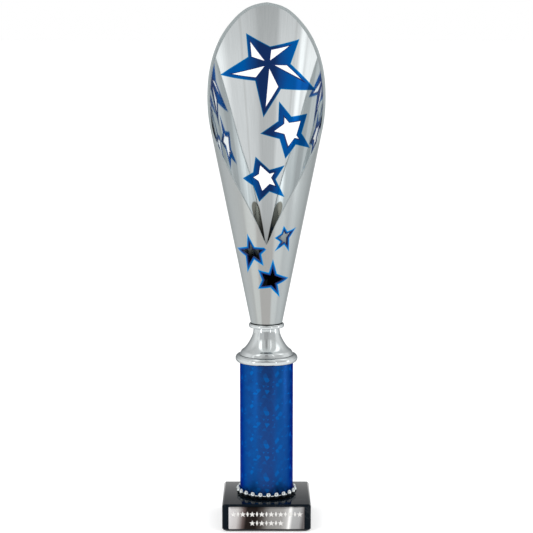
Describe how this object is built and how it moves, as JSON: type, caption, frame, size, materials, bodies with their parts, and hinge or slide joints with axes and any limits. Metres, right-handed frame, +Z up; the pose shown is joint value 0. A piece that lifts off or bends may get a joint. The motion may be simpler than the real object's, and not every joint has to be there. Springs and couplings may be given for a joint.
{
  "type": "column trophy",
  "caption": "Column trophy: slant-cut silver cone cup with blue star cut-outs on a chromed riser, blue foil column, bead collar and black stone base with a plate.",
  "frame": {"origin": "under the base's felt, on the column's axis", "axes": "+Z up along the column; the plate and the low side of the cup face -Y; +X is the trophy's right as the viewer sees it"},
  "size_m": [0.1002, 0.1071, 0.444],
  "materials": {
    "black_stone": "polished black marble, faint grey veins",
    "black_felt": "black felt",
    "adhesive_foam": "double-sided foam tape",
    "plate_silver": "bright silver anodised sheet",
    "chrome_trim": "bright chrome",
    "white_tube": "plain white tube",
    "blue_foil": "prismatic blue metallised film with a broken-glass pattern",
    "black_fibre": "black washer",
    "cup_metal": "satin silver outside, mirror inside, transparent blue lacquer stars",
    "zinc_steel": "zinc-plated"
  },
  "bodies": {
    "root": {"base_block": "black_stone", "base_felt": "black_felt", "plate_adhesive": "adhesive_foam", "engraving_plate": "plate_silver", "bead_collar": "chrome_trim", "column_tube": "white_tube", "column_foil": "blue_foil", "riser": "chrome_trim", "cup_seat_washer": "black_fibre", "cone_cup": "cup_metal", "threaded_rod": "zinc_steel", "base_flat_washer": "zinc_steel", "base_spring_washer": "zinc_steel", "base_nut": "zinc_steel", "cup_flat_washer": "zinc_steel", "cup_spring_washer": "zinc_steel", "cup_nut": "zinc_steel"}
  },
  "joints": []
}
